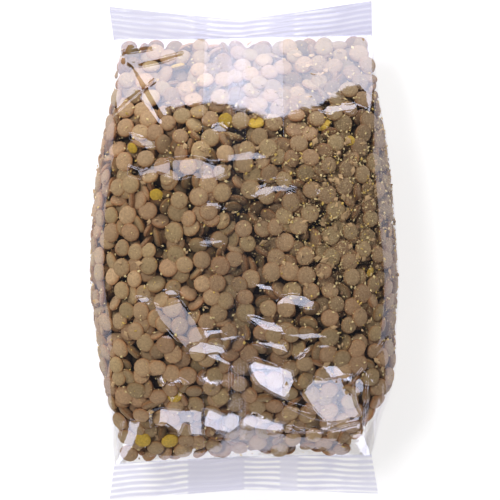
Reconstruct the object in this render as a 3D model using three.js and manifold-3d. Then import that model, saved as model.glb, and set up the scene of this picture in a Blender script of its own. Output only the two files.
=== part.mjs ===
// A clear film bag of brown lentils, lying on its smooth face with the back seam up.
// Millimetres, +Z up. The origin is on the table under the middle of the whole bag:
// +X runs across the bag and +Y along it, towards the top seal.
import * as THREE from "three";
import { mergeVertices } from "three/addons/utils/BufferGeometryUtils.js";
import Module from "manifold-3d";

const wasm = await Module();
wasm.setup();

// The filled bag.
const BAG_HEIGHT = 53; // table to the crown of the upper face
const SEAL_LEVEL = 24; // height of the two end seals, and of the widest line of the sides
const BOTTOM_LINE_Y = -72.6; // where the filling ends and the bottom seal begins, at mid width
const TOP_LINE_Y = 74.4; // where the filling ends and the top seal begins, at mid width
const END_HALF_THICKNESS = 1.5; // the filling tapers to about one lentil at the seals
const RISE_LENGTH = 44; // the upper face climbs from seal to full height over this length
const UNDER_RISE_LENGTH = 30; // and the lower face comes down to the table over this one
const RISE_POWER = 1.4;
const UPPER_ROUNDNESS = 2.7; // power of the section's curve above its widest line, at mid length
const END_ROUNDNESS = 5.5; // and at the seals, where it is boxier
const END_ROUNDNESS_RUN = 40; // the one changes to the other over this length
const LOWER_ROUNDNESS = 3.6; // the same power below the widest line, where the bag is pressed flat
const TABLE_SINK = 2.5; // how far the lower curve would pass the table, which flattens it

// Seen from above: distance along Y, then the film's left and right edges.
const OUTLINE = [
  [-73, -46.0, 45.2],
  [-60, -47.2, 48.6],
  [-49.5, -49.0, 52.2],
  [-28, -52.2, 53.4],
  [-12, -54.2, 54.2],
  [4, -54.0, 53.4],
  [25, -52.5, 51.6],
  [46, -48.8, 48.8],
  [68, -45.4, 46.0],
  [75, -46.0, 45.4],
];
// The lentils stop short of the film at the corners, by this much at the seal lines.
const CLEAR_CORNERS = { bottomLeft: 3.6, bottomRight: 7.5, topLeft: 0.5, topRight: 0.5 };
const CLEAR_RUN = 24; // the gap closes over this length

// The side gussets fold inwards towards each seal.
const GUSSET_FOLD_DEPTH = 13;
const GUSSET_FOLD_LENGTH = 34;
const GUSSET_FOLD_SPREAD = 0.62; // share of the section's half height that folds
const GUSSET_EDGE_POWER = 6; // keeps the fold to the outer part of the section

// The end seals: each line is given at five places evenly across, from the left edge to the right.
const TOP_SEAL = {
  inner: [74.2, 74.3, 74.5, 75.1, 75.8], // Y of the line next to the filling
  outer: [85.7, 83.8, 82.2, 85.0, 88.0], // Y of the free edge
  left: [-46.0, -47.4], // X of the left corner, next to the filling and at the free edge
  right: [45.2, 45.0],
  lift: [3.5, -2.6, -10.4, -4.0, 1.0], // the free edge stands above or hangs below the line by this
};
const BOTTOM_SEAL = {
  inner: [-75.1, -73.7, -72.6, -72.1, -71.9],
  outer: [-88.0, -86.3, -84.6, -85.0, -85.6],
  left: [-45.8, -47.4],
  right: [45.0, 47.3],
  lift: [1.5, -0.8, -2.5, 0.6, 2.0],
};
const SEAL_THICKNESS = 0.7;
const SEAL_LIFT_POWER = 1.4;
const CRIMP_PITCH = 1.93;
const CRIMP_HEIGHT = 0.4;
const SEAL_COLUMNS = 8;
const FILM_GAP = 0.5; // clearance between film and filling

// The clear corners between the bottom seal and the sides.
const CORNER_FILM_THICKNESS = 0.5;
const CORNER_FILM_OVERLAP = 1.2; // how far it runs into the seal
const CORNER_FILM_MIN_WIDTH = 0.5;
const CORNER_FILM_ROWS = 6;

// The back seam: a welded band with fine ribs along the bag.
const SEAM_LEFT = -5.2;
const SEAM_RIGHT = 1.2;
const SEAM_THICKNESS = 0.6;
const SEAM_RIBS = 5;
const SEAM_RIB_HEIGHT = 0.25;
const SEAM_CLEARANCE = 0.8; // keeps the band off the lentils' rims
const SEAM_ROWS = 14;
const SEAM_END_SHARE = 0.25; // how far it runs onto each seal
const SEAM_END_DROP = 0.1; // how deep it is welded into the seal

// A lentil is a flat lens.
const LENTIL_DIAMETER = 6.4;
const LENTIL_THICKNESS = 2.7;
const LENTIL_SIDES = 6;
const LENTIL_FLAT = 0.62; // share of the radius where its face is flat
const LENTIL_SPACING = 8.4; // no two on the film lie closer than this
const LENTIL_TRIES = 60000; // places tried, enough to leave no open space
const LENTIL_SIZE_SPREAD = 0.09;
const LENTIL_TILT = 0.3;
const LENTIL_SINK = 0.12; // a lentil's face lies this far inside the film
const LENTIL_HOLD = 6; // cubic millimetres of a lentil in the core; one with less would hang loose
const LENTIL_END_ROOM = 2.8; // none is centred closer than this to the seal lines
const LENTIL_LOWEST = 12; // none stand out below this height, where the bag is pressed flat
const CORE_INSET = 1.1; // the core lies this far inside the film, so lentils stand proud of it
const SECTIONS_ALONG = 15;
const END_CROWDING = 0.22; // sections stand closer together towards the ends
const POINTS_AROUND = 22;

const LENTIL_BROWN = 0x927552;
const FILM_CLEAR = 0xe4e4f2;

// A repeatable random number from 0 to 1.
function makeRandom(seed) {
  let state = seed >>> 0;
  return () => {
    state = (state + 0x6d2b79f5) >>> 0;
    let t = state;
    t = Math.imul(t ^ (t >>> 15), t | 1);
    t ^= t + Math.imul(t ^ (t >>> 7), t | 61);
    return ((t ^ (t >>> 14)) >>> 0) / 4294967296;
  };
}

// A smooth curve through rows of [position, value, value].
const outlineCurve = new THREE.CubicInterpolant(
  Float32Array.from(OUTLINE, (row) => row[0]),
  Float32Array.from(OUTLINE.flatMap((row) => [row[1], row[2]])),
  2,
);

// The value at share 0 to 1 across, of a line given at even places from left to right.
function acrossLine(values, share) {
  const place = share * (values.length - 1);
  const before = Math.min(Math.floor(place), values.length - 2);
  return THREE.MathUtils.lerp(values[before], values[before + 1], place - before);
}

function riseFrom(distance, length) {
  const left = 1 - THREE.MathUtils.clamp(distance / length, 0, 1);
  return 1 - Math.pow(left, RISE_POWER);
}

// The power of the section's curve above its widest line.
function upperRoundness(along) {
  const length = TOP_LINE_Y - BOTTOM_LINE_Y;
  const nearEnd = Math.max(0, 1 - (Math.min(along, 1 - along) * length) / END_ROUNDNESS_RUN);
  return THREE.MathUtils.lerp(UPPER_ROUNDNESS, END_ROUNDNESS, nearEnd);
}

// How far the lentils stop short of the film's edge, on the left (-1) or right (1) side.
function clearance(along, side) {
  const length = TOP_LINE_Y - BOTTOM_LINE_Y;
  const nearBottom = Math.max(0, 1 - (along * length) / CLEAR_RUN);
  const nearTop = Math.max(0, 1 - ((1 - along) * length) / CLEAR_RUN);
  return side < 0
    ? CLEAR_CORNERS.bottomLeft * nearBottom + CLEAR_CORNERS.topLeft * nearTop
    : CLEAR_CORNERS.bottomRight * nearBottom + CLEAR_CORNERS.topRight * nearTop;
}

// Distance from the middle to the film's left (-1) or right (1) edge.
function filmEdge(along, side) {
  const [left, right] = outlineCurve.evaluate(THREE.MathUtils.lerp(BOTTOM_LINE_Y, TOP_LINE_Y, along));
  return side < 0 ? -left : right;
}

// Y at a share of the way from the bottom seal's line to the top one's.
function planY(along, x, inset = 0) {
  const left = filmEdge(along, -1);
  const across = THREE.MathUtils.clamp((x + left) / (left + filmEdge(along, 1)), 0, 1);
  return THREE.MathUtils.lerp(
    acrossLine(BOTTOM_SEAL.inner, across) + inset,
    acrossLine(TOP_SEAL.inner, across) - inset,
    along,
  );
}

// Slow swells of the upper face, where the lentils lie unevenly.
function swell(x, y) {
  return 0.7 * Math.sin(x / 13 + 0.6) * Math.cos(y / 17 - 0.4) + 0.4 * Math.sin((x + y) / 9);
}

// A point of the film round the filling: share of the way along, then the angle round the bag.
function fillingPoint(along, angle, inset = 0) {
  const fromBottom = along * (TOP_LINE_Y - BOTTOM_LINE_Y);
  const fromTop = (1 - along) * (TOP_LINE_Y - BOTTOM_LINE_Y);
  const side = Math.cos(angle);
  const rise = Math.sin(angle);
  const halfWidth = filmEdge(along, side) - clearance(along, side) - inset;

  const upper = riseFrom(fromBottom, RISE_LENGTH) * riseFrom(fromTop, RISE_LENGTH);
  const lower = riseFrom(fromBottom, UNDER_RISE_LENGTH) * riseFrom(fromTop, UNDER_RISE_LENGTH);
  const top = THREE.MathUtils.lerp(SEAL_LEVEL + END_HALF_THICKNESS, BAG_HEIGHT, upper);
  const under = THREE.MathUtils.lerp(SEAL_LEVEL - END_HALF_THICKNESS, -TABLE_SINK, lower);

  const power = 2 / (rise > 0 ? upperRoundness(along) : LOWER_ROUNDNESS);
  const span = rise > 0 ? top - SEAL_LEVEL - inset : SEAL_LEVEL - under;
  let x = Math.sign(side) * halfWidth * Math.pow(Math.abs(side), power);
  let z = SEAL_LEVEL + Math.sign(rise) * span * Math.pow(Math.abs(rise), power);

  const fold = Math.max(0, 1 - Math.min(fromBottom, fromTop) / GUSSET_FOLD_LENGTH);
  const offFold = Math.abs(z - SEAL_LEVEL) / (GUSSET_FOLD_SPREAD * span);
  const foldIn = GUSSET_FOLD_DEPTH * fold * Math.max(0, 1 - offFold);
  x -= Math.sign(side) * foldIn * Math.min(1, Math.abs(x) / halfWidth) ** GUSSET_EDGE_POWER;

  if (rise > 0) z += swell(x, fromBottom) * rise * upper;
  return new THREE.Vector3(x, planY(along, x, inset * 0.4), Math.max(z, 0));
}

function fillingNormal(along, angle) {
  const step = 0.004;
  const onwards = along > 0.5 ? -step : step;
  const here = fillingPoint(along, angle);
  const round = fillingPoint(along, angle + step).sub(here);
  const alongward = fillingPoint(along + onwards, angle).sub(here);
  return round.cross(alongward).multiplyScalar(-Math.sign(onwards)).normalize();
}

// A point of the upper face at a given X, raised off the film.
function upperPoint(along, x, height) {
  const side = Math.sign(x) || 1;
  const halfWidth = filmEdge(along, side) - clearance(along, side);
  const angle = Math.acos(side * Math.pow(Math.abs(x) / halfWidth, upperRoundness(along) / 2));
  return fillingPoint(along, angle).addScaledVector(fillingNormal(along, angle), height);
}

// A closed solid from rings of points, with a centre point closing each end.
function ringSolid(rings) {
  const count = rings[0].length;
  const centre = (ring) => ring.reduce((sum, p) => sum.add(p), new THREE.Vector3()).divideScalar(count);
  const points = [...rings.flat(), centre(rings[0]), centre(rings.at(-1))];
  const faces = [];
  const at = (ring, i) => ring * count + (i % count);
  const firstCentre = rings.length * count;
  for (let i = 0; i < count; i++) {
    for (let r = 0; r + 1 < rings.length; r++) {
      faces.push(at(r, i), at(r + 1, i), at(r, i + 1), at(r, i + 1), at(r + 1, i), at(r + 1, i + 1));
    }
    faces.push(firstCentre, at(0, i), at(0, i + 1));
    faces.push(firstCentre + 1, at(rings.length - 1, i + 1), at(rings.length - 1, i));
  }
  return indexedGeometry(points, faces);
}

// A closed sheet from two grids of points, its upper and its lower face.
function sheetSolid(upper, lower) {
  const rows = upper.length;
  const columns = upper[0].length;
  const faces = [];
  const up = (r, c) => r * columns + c;
  const down = (r, c) => rows * columns + up(r, c);
  const quad = (a, b, c, d) => faces.push(a, b, c, a, c, d);
  for (let r = 0; r + 1 < rows; r++) {
    for (let c = 0; c + 1 < columns; c++) {
      quad(up(r, c), up(r, c + 1), up(r + 1, c + 1), up(r + 1, c));
      quad(down(r, c), down(r + 1, c), down(r + 1, c + 1), down(r, c + 1));
    }
    quad(up(r, 0), up(r + 1, 0), down(r + 1, 0), down(r, 0));
    quad(up(r + 1, columns - 1), up(r, columns - 1), down(r, columns - 1), down(r + 1, columns - 1));
  }
  for (let c = 0; c + 1 < columns; c++) {
    quad(up(0, c + 1), up(0, c), down(0, c), down(0, c + 1));
    quad(up(rows - 1, c), up(rows - 1, c + 1), down(rows - 1, c + 1), down(rows - 1, c));
  }
  return indexedGeometry([...upper.flat(), ...lower.flat()], faces);
}

function indexedGeometry(points, faces) {
  const geometry = new THREE.BufferGeometry().setFromPoints(points);
  geometry.setIndex(faces);
  return geometry;
}

function toSolid(geometry) {
  const bare = geometry.clone();
  bare.deleteAttribute("normal");
  bare.deleteAttribute("uv");
  const merged = mergeVertices(bare);
  return new wasm.Manifold(
    new wasm.Mesh({
      numProp: 3,
      vertProperties: new Float32Array(merged.attributes.position.array),
      triVerts: new Uint32Array(merged.index.array),
    }),
  );
}

function toGeometry(solid) {
  const mesh = solid.getMesh();
  const geometry = new THREE.BufferGeometry();
  geometry.setAttribute("position", new THREE.BufferAttribute(mesh.vertProperties, 3));
  geometry.setIndex(new THREE.BufferAttribute(mesh.triVerts, 1));
  geometry.computeVertexNormals();
  return geometry;
}

// The core of the filling, just inside the film.
function coreGeometry() {
  const rings = [];
  for (let s = 0; s <= SECTIONS_ALONG; s++) {
    const turn = (Math.PI * s) / SECTIONS_ALONG;
    const along = 0.5 - 0.5 * Math.cos(turn) * (1 - END_CROWDING * Math.sin(turn));
    const ring = [];
    for (let i = 0; i < POINTS_AROUND; i++) {
      ring.push(fillingPoint(along, (2 * Math.PI * i) / POINTS_AROUND, CORE_INSET));
    }
    rings.push(ring);
  }
  return ringSolid(rings);
}

function lentilGeometry(radius) {
  const half = LENTIL_THICKNESS / 2;
  const profile = [
    new THREE.Vector2(0, -half),
    new THREE.Vector2(radius, 0),
    new THREE.Vector2(radius * LENTIL_FLAT, half),
    new THREE.Vector2(0, half),
  ];
  return new THREE.LatheGeometry(profile, LENTIL_SIDES);
}

// Lentils pressed against the film, spread evenly by rejecting any that would lie too close.
function lentilPlaces() {
  const random = makeRandom(20);
  const room = LENTIL_END_ROOM / (TOP_LINE_Y - BOTTOM_LINE_Y);
  const places = [];
  for (let t = 0; t < LENTIL_TRIES; t++) {
    const along = THREE.MathUtils.lerp(room, 1 - room, random());
    const angle = 2 * Math.PI * random();
    const point = fillingPoint(along, angle);
    const crowded = places.some((other) => other.point.distanceTo(point) < LENTIL_SPACING);
    if (point.z > LENTIL_LOWEST && !crowded) places.push({ point, normal: fillingNormal(along, angle) });
  }
  return places;
}

function fillingSolid() {
  const random = makeRandom(7);
  const axis = new THREE.Vector3(0, 1, 0);
  const size = new THREE.Vector3(1, 1, 1);
  const core = toSolid(coreGeometry());
  let solid = core;
  for (const { point, normal } of lentilPlaces()) {
    const radius = (LENTIL_DIAMETER / 2) * (1 + LENTIL_SIZE_SPREAD * (2 * random() - 1));
    const tilt = LENTIL_TILT * random() ** 2;
    const lean = new THREE.Vector3(random() - 0.5, random() - 0.5, random() - 0.5).normalize();
    const facing = normal.clone().addScaledVector(lean, tilt).normalize();
    const depth = LENTIL_THICKNESS / 2 + LENTIL_SINK + (radius * tilt) / 2;
    const place = new THREE.Matrix4().compose(
      point.clone().addScaledVector(normal, -depth),
      new THREE.Quaternion().setFromUnitVectors(axis, facing),
      size,
    );
    const lens = toSolid(lentilGeometry(radius).applyMatrix4(place));
    if (core.intersect(lens).volume() > LENTIL_HOLD) solid = solid.add(lens);
  }
  return solid;
}

// A point of a seal's middle plane: share across from the left, then share out to the free edge.
function sealPoint(seal, across, out) {
  const inwards = Math.sign(seal.inner[1] - seal.outer[1]);
  const start = acrossLine(seal.inner, across) - inwards * FILM_GAP;
  const left = THREE.MathUtils.lerp(seal.left[0], seal.left[1], out);
  const right = THREE.MathUtils.lerp(seal.right[0], seal.right[1], out);
  return new THREE.Vector3(
    THREE.MathUtils.lerp(left, right, across),
    THREE.MathUtils.lerp(start, acrossLine(seal.outer, across), out),
    SEAL_LEVEL + acrossLine(seal.lift, across) * out ** SEAL_LIFT_POWER,
  );
}

// A ribbed end seal. Its rows run from the line next to the filling to the free edge.
function sealGeometry(seal) {
  const length = Math.abs(seal.outer[1] - seal.inner[1]);
  const rows = 2 * Math.round(length / CRIMP_PITCH);
  const face = (level) => {
    const lines = [];
    for (let r = 0; r <= rows; r++) {
      const half = SEAL_THICKNESS / 2 + (r % 2 ? CRIMP_HEIGHT : 0);
      const line = [];
      for (let c = 0; c <= SEAL_COLUMNS; c++) {
        const point = sealPoint(seal, c / SEAL_COLUMNS, r / rows);
        point.z += level * half;
        line.push(point);
      }
      lines.push(line);
    }
    return seal === TOP_SEAL ? lines : lines.reverse();
  };
  return sheetSolid(face(1), face(-1));
}

// The clear film between the bottom seal and the lentils, at the left (-1) or right (1) corner.
function cornerGeometry(side, widest) {
  const length = TOP_LINE_Y - BOTTOM_LINE_Y;
  const reach = 1 - (FILM_GAP + CORNER_FILM_MIN_WIDTH) / widest;
  const face = (level) => {
    const lines = [];
    for (let r = 0; r <= CORNER_FILM_ROWS; r++) {
      const along = (reach * CLEAR_RUN * r) / CORNER_FILM_ROWS / length;
      const outer = filmEdge(along, side);
      const inner = outer - clearance(along, side) + FILM_GAP;
      const back = r === 0 ? CORNER_FILM_OVERLAP : 0;
      const z = SEAL_LEVEL + ((level + 1) / 2) * CORNER_FILM_THICKNESS - CORNER_FILM_THICKNESS / 2;
      const line = [inner, outer].map((x) => new THREE.Vector3(side * x, planY(along, side * x) - back, z));
      lines.push(side < 0 ? line.reverse() : line);
    }
    return lines;
  };
  return sheetSolid(face(1), face(-1));
}

function seamEnd(seal, x, raised) {
  const across = (x - seal.left[0]) / (seal.right[0] - seal.left[0]);
  const point = sealPoint(seal, across, SEAM_END_SHARE);
  point.z += SEAL_THICKNESS / 2 - SEAM_END_DROP + raised;
  return point;
}

// The welded band of the back seam, following the upper face and running onto both seals.
function seamGeometry() {
  const columns = 2 * SEAM_RIBS;
  const face = (level) => {
    const lines = [];
    for (let r = -1; r <= SEAM_ROWS + 1; r++) {
      const along = THREE.MathUtils.clamp(r / SEAM_ROWS, 0, 1);
      const line = [];
      for (let c = 0; c <= columns; c++) {
        const x = THREE.MathUtils.lerp(SEAM_LEFT, SEAM_RIGHT, c / columns);
        const raised = level * (SEAM_THICKNESS + (c % 2 ? SEAM_RIB_HEIGHT : 0));
        if (r < 0) line.push(seamEnd(BOTTOM_SEAL, x, raised));
        else if (r > SEAM_ROWS) line.push(seamEnd(TOP_SEAL, x, raised));
        else line.push(upperPoint(along, x, SEAM_CLEARANCE + raised));
      }
      lines.push(line);
    }
    return lines;
  };
  return sheetSolid(face(1), face(0));
}

function filmSolid() {
  const left = cornerGeometry(-1, CLEAR_CORNERS.bottomLeft);
  const right = cornerGeometry(1, CLEAR_CORNERS.bottomRight);
  return [sealGeometry(BOTTOM_SEAL), left, right, seamGeometry()]
    .map(toSolid)
    .reduce((whole, piece) => whole.add(piece), toSolid(sealGeometry(TOP_SEAL)));
}

const film = new THREE.MeshStandardMaterial({ color: FILM_CLEAR, roughness: 0.12, metalness: 0 });
const lentil = new THREE.MeshStandardMaterial({ color: LENTIL_BROWN, roughness: 0.62, metalness: 0 });

const bag = new THREE.Group();
function addPiece(name, solid, material) {
  const mesh = new THREE.Mesh(toGeometry(solid), material);
  mesh.name = name;
  bag.add(mesh);
}
addPiece("lentil_filling", fillingSolid(), lentil);
addPiece("film_seals", filmSolid(), film);

// The origin goes under the middle of the whole bag.
const middle = new THREE.Box3().setFromObject(bag).getCenter(new THREE.Vector3());
for (const mesh of bag.children) mesh.geometry.translate(-middle.x, -middle.y, 0);

export default bag;
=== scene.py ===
# A clear film bag of brown lentils. It lies on its smooth face with the back seam up,
# and is seen from straight above. Metres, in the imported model's frame.
import math

import bpy
import numpy as np
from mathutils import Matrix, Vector


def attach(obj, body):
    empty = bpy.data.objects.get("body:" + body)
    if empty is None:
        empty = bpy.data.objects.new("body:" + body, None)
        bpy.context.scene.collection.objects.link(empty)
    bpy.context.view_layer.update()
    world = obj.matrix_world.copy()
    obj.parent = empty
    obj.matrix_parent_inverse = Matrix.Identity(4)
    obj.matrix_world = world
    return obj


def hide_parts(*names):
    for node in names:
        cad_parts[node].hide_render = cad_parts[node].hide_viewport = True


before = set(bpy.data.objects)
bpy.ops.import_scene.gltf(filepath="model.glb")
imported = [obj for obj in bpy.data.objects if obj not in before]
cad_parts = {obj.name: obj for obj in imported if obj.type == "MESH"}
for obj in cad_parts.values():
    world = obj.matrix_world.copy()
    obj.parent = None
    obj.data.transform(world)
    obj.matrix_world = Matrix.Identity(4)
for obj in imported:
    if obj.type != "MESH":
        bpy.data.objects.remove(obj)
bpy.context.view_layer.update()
MM = 0.001

# The camera looks straight down from just under a metre. At the height of the bag's upper
# face one pixel of a 500 pixel picture covers 0.345 mm.
bpy.ops.object.select_all(action="DESELECT")
CAMERA_HEIGHT, FACE_HEIGHT, SENSOR_WIDTH = 0.95, 0.045, 36.0
PICTURE_PIXELS, PIXEL_WIDTH = 500, 0.345
bpy.ops.object.camera_add(location=(0.0021, 0.0002, CAMERA_HEIGHT), rotation=(0, 0, 0))
camera = bpy.context.object
camera.data.sensor_width = SENSOR_WIDTH
camera.data.lens = SENSOR_WIDTH * (CAMERA_HEIGHT - FACE_HEIGHT) / (PICTURE_PIXELS * PIXEL_WIDTH * MM)
camera.data.clip_start = 0.01
bpy.context.scene.camera = camera
bpy.context.scene.view_settings.view_transform = "Standard"
bpy.context.scene.cycles.transparent_max_bounces = 24


# Soft studio light. The wide softbox beyond the top seal is what the film mirrors as a white
# haze. The strip, panels and cards are what its flat places mirror, further down below.
def softbox(name, place, aim, width, height, power, mirrored=True):
    bpy.ops.object.light_add(type="AREA", location=place)
    lamp = bpy.context.object
    lamp.name = name
    lamp.rotation_euler = (Vector(aim) - Vector(place)).to_track_quat("-Z", "Y").to_euler()
    lamp.data.shape = "RECTANGLE"
    lamp.data.size = width
    lamp.data.size_y = height
    lamp.data.energy = power
    lamp.visible_glossy = mirrored
    lamp.visible_camera = False


STRIP_TOP, STRIP_BOTTOM = (0, 0.75, 0.20), (0, -0.8, 0.09)
LOW_LEFT, LOW_RIGHT = (-0.234, -0.841, 0.286), (0.202, -0.848, 0.286)
CARD_RIGHT, CARD_LEFT = (0.20, -0.36, 0.85), (-0.19, 0.34, 0.87)
PANEL_RIGHT, PANEL_MIDDLE = (0.395, -0.738, 0.424), (0.235, -0.73, 0.535)
SOFT_LEFT = (-0.27, -0.235, 0.80)
softbox("softbox_top", STRIP_TOP, (0, 0, 0.03), 2.3, 0.34, 8.7)
softbox("softbox_bottom", STRIP_BOTTOM, (0, 0, 0.03), 1.5, 0.07, 0.55)
softbox("panel_low_left", LOW_LEFT, (-0.01, -0.06, 0.038), 0.14, 0.14, 0.24)
softbox("panel_low_right", LOW_RIGHT, (0.005, -0.06, 0.038), 0.14, 0.14, 0.24)
softbox("card_right", CARD_RIGHT, (0, 0, 0.03), 0.24, 0.24, 0.54)
softbox("card_left", CARD_LEFT, (0, 0, 0.03), 0.24, 0.24, 0.36)
softbox("panel_right", PANEL_RIGHT, (0.028, -0.048, 0.04), 0.18, 0.18, 0.33)
softbox("panel_middle", PANEL_MIDDLE, (0.008, -0.042, 0.047), 0.17, 0.17, 0.40)
softbox("soft_left", SOFT_LEFT, (-0.023, -0.026, 0.05), 0.20, 0.20, 0.20)
softbox("key_overhead", (-0.36, 0.27, 0.78), (0, 0, 0), 0.26, 0.26, 4.9, mirrored=False)

world = bpy.data.worlds.new("studio")
bpy.context.scene.world = world
world.use_nodes = True
world.node_tree.nodes["Background"].inputs["Color"].default_value = (1.0, 0.90, 0.86, 1)
world.node_tree.nodes["Background"].inputs["Strength"].default_value = 0.065

# The pale floor that the bag lies on.
bpy.ops.mesh.primitive_plane_add(size=6, location=(0, 0, -0.0002))
floor = bpy.context.object
floor.name = "floor"
floor_paint = bpy.data.materials.new("floor_paint")
floor_paint.use_nodes = True
floor_shader = floor_paint.node_tree.nodes["Principled BSDF"]
floor_shader.inputs["Base Color"].default_value = (0.55, 0.55, 0.56, 1)
floor_shader.inputs["Emission Color"].default_value = (1, 1, 1, 1)
floor_shader.inputs["Emission Strength"].default_value = 0.68
floor_shader.inputs["Roughness"].default_value = 0.9
floor_shader.inputs["Specular IOR Level"].default_value = 0.1
floor.data.materials.append(floor_paint)

# The filled bag's form, in millimetres. It lies pillow-shaped between two seal lines, and its
# side gussets fold inwards towards both ends. Everything inside and on the bag follows it.
BAG_HEIGHT, SEAL_LEVEL = 53.0, 24.0
END_HALF_THICKNESS, TABLE_SINK = 1.5, 2.5
BOTTOM_LINE_Y, TOP_LINE_Y = -72.6, 74.4
LINE_LENGTH = TOP_LINE_Y - BOTTOM_LINE_Y
OUTLINE_Y = np.array([-73, -60, -49.5, -28, -12, 4, 25, 46, 68, 75], float)
OUTLINE_LEFT = np.array([46.0, 47.2, 49.0, 52.2, 54.2, 54.0, 52.5, 48.8, 45.4, 46.0])
OUTLINE_RIGHT = np.array([45.2, 48.6, 52.2, 53.4, 54.2, 53.4, 51.6, 48.8, 46.0, 45.4])
BOTTOM_INNER = np.array([-75.1, -73.7, -72.6, -72.1, -71.9])
TOP_INNER = np.array([74.2, 74.3, 74.5, 75.1, 75.8])
FIFTHS = np.linspace(0, 1, 5)
UPPER_RISE, LOWER_RISE = 44, 30  # each face reaches its full height this far from a seal
END_REACH, CORNER_REACH = 40, 24  # the boxy ends and the empty corners reach this far
EMPTY_LEFT, EMPTY_RIGHT = 3.6, 7.5  # the lentils stop this short of the bottom corners
UPPER_POWER, END_POWER, LOWER_POWER = 2.7, 2.8, 3.6  # roundness, where 2 is an ellipse
GUSSET_LENGTH, GUSSET_DEPTH, GUSSET_SPREAD, GUSSET_POWER = 34, 5, 0.62, 6


def smooth_curve(x, xs, ys):
    """A smooth curve through the points xs, ys (cubic, with slopes from the neighbours)."""
    x = np.clip(x, xs[0], xs[-1])
    i = np.clip(np.searchsorted(xs, x) - 1, 0, len(xs) - 2)
    slope = np.gradient(ys, xs)
    h = xs[i + 1] - xs[i]
    t = (x - xs[i]) / h
    return (
        ys[i] * (2 * t**3 - 3 * t**2 + 1)
        + slope[i] * h * (t**3 - 2 * t**2 + t)
        + ys[i + 1] * (3 * t**2 - 2 * t**3)
        + slope[i + 1] * h * (t**3 - t**2)
    )


def rise_from(distance, length):
    return 1 - (1 - np.clip(distance / length, 0, 1)) ** 1.4


def rises(from_bottom, from_top):
    """How near the upper and the lower face are to their full height, from 0 to 1."""
    upper = rise_from(from_bottom, UPPER_RISE) * rise_from(from_top, UPPER_RISE)
    lower = rise_from(from_bottom, LOWER_RISE) * rise_from(from_top, LOWER_RISE)
    return upper, lower


def half_widths(y):
    """The bag's half width at y, to the left and to the right."""
    return smooth_curve(y, OUTLINE_Y, OUTLINE_LEFT), smooth_curve(y, OUTLINE_Y, OUTLINE_RIGHT)


def bag_form(along, angle, clear=0.0, inset=0.0):
    """Points of the bag: share of the way from bottom to top seal line, angle round it (0 at
    +X, a quarter turn at the top). clear=1 stops short of the empty corners."""
    along, angle = np.broadcast_arrays(np.asarray(along, float), np.asarray(angle, float))
    from_bottom = along * LINE_LENGTH
    from_top = (1 - along) * LINE_LENGTH
    y_mid = BOTTOM_LINE_Y + from_bottom
    side, rise = np.cos(angle), np.sin(angle)
    left, right = half_widths(y_mid)
    near_end = np.clip(1 - np.minimum(from_bottom, from_top) / END_REACH, 0, 1)
    near_bottom = np.clip(1 - from_bottom / CORNER_REACH, 0, 1)
    gap = np.where(side < 0, EMPTY_LEFT, EMPTY_RIGHT) * near_bottom
    half = np.where(side < 0, left, right) - clear * gap - inset

    upper, lower = rises(from_bottom, from_top)
    top = (SEAL_LEVEL + END_HALF_THICKNESS) * (1 - upper) + BAG_HEIGHT * upper
    under = (SEAL_LEVEL - END_HALF_THICKNESS) * (1 - lower) - TABLE_SINK * lower

    power = np.where(rise > 0, 2 / (UPPER_POWER + END_POWER * near_end), 2 / LOWER_POWER)
    span = np.where(rise > 0, top - SEAL_LEVEL, SEAL_LEVEL - under) - inset
    x = np.sign(side) * half * np.abs(side) ** power
    z = SEAL_LEVEL + np.sign(rise) * span * np.abs(rise) ** power
    fold = np.clip(1 - np.minimum(from_bottom, from_top) / GUSSET_LENGTH, 0, 1)
    fold_in = GUSSET_DEPTH * fold * np.clip(1 - np.abs(z - SEAL_LEVEL) / (GUSSET_SPREAD * span), 0, 1)
    x = x - np.sign(side) * fold_in * np.clip(np.abs(x) / half, 0, 1) ** GUSSET_POWER
    swell = 0.7 * np.sin(x / 13 + 0.6) * np.cos(from_bottom / 17 - 0.4) + 0.4 * np.sin((x + from_bottom) / 9)
    z = z + np.where(rise > 0, swell * rise * upper, 0)
    across = np.clip((x + left) / (left + right), 0, 1)
    start = np.interp(across, FIFTHS, BOTTOM_INNER)
    stop = np.interp(across, FIFTHS, TOP_INNER)
    y = start + (stop - start) * along
    return np.stack([x, y, np.maximum(z, inset)], -1)


def face_levels(x, y):
    """Heights of the bag's upper and lower face over a point of the table, and how far the
    point is from the bag's side, in millimetres."""
    along = np.clip((y - BOTTOM_LINE_Y) / LINE_LENGTH, 0, 1)
    from_bottom, from_top = along * LINE_LENGTH, (1 - along) * LINE_LENGTH
    half = np.where(x < 0, *half_widths(y))
    out = np.clip(np.abs(x) / half, 0, 1)
    power = UPPER_POWER + END_POWER * np.clip(1 - np.minimum(from_bottom, from_top) / END_REACH, 0, 1)
    upper, lower = rises(from_bottom, from_top)
    above = END_HALF_THICKNESS * (1 - upper) + (BAG_HEIGHT - SEAL_LEVEL) * upper
    above = above * (1 - out**power) ** (1 / power)
    below = END_HALF_THICKNESS * (1 - lower) + (SEAL_LEVEL + TABLE_SINK) * lower
    below = below * (1 - out**LOWER_POWER) ** (1 / LOWER_POWER)
    return SEAL_LEVEL + above, np.maximum(SEAL_LEVEL - below, 0), half - np.abs(x)


def form_normals(points):
    """Outward normals of a grid of points, along its rows and round its columns."""
    onwards = np.gradient(points, axis=0)
    round_bag = np.gradient(points, axis=1)
    normal = np.cross(onwards, round_bag)
    length = np.linalg.norm(normal, axis=-1, keepdims=True)
    return normal / np.maximum(length, 1e-9)


def new_mesh_piece(name, points, faces, material, smooth=True):
    mesh = bpy.data.meshes.new(name)
    mesh.from_pydata([tuple(p) for p in points], [], faces)
    mesh.materials.append(material)
    piece = bpy.data.objects.new(name, mesh)
    bpy.context.scene.collection.objects.link(piece)
    mesh.polygons.foreach_set("use_smooth", [smooth] * len(mesh.polygons))
    return piece


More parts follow.
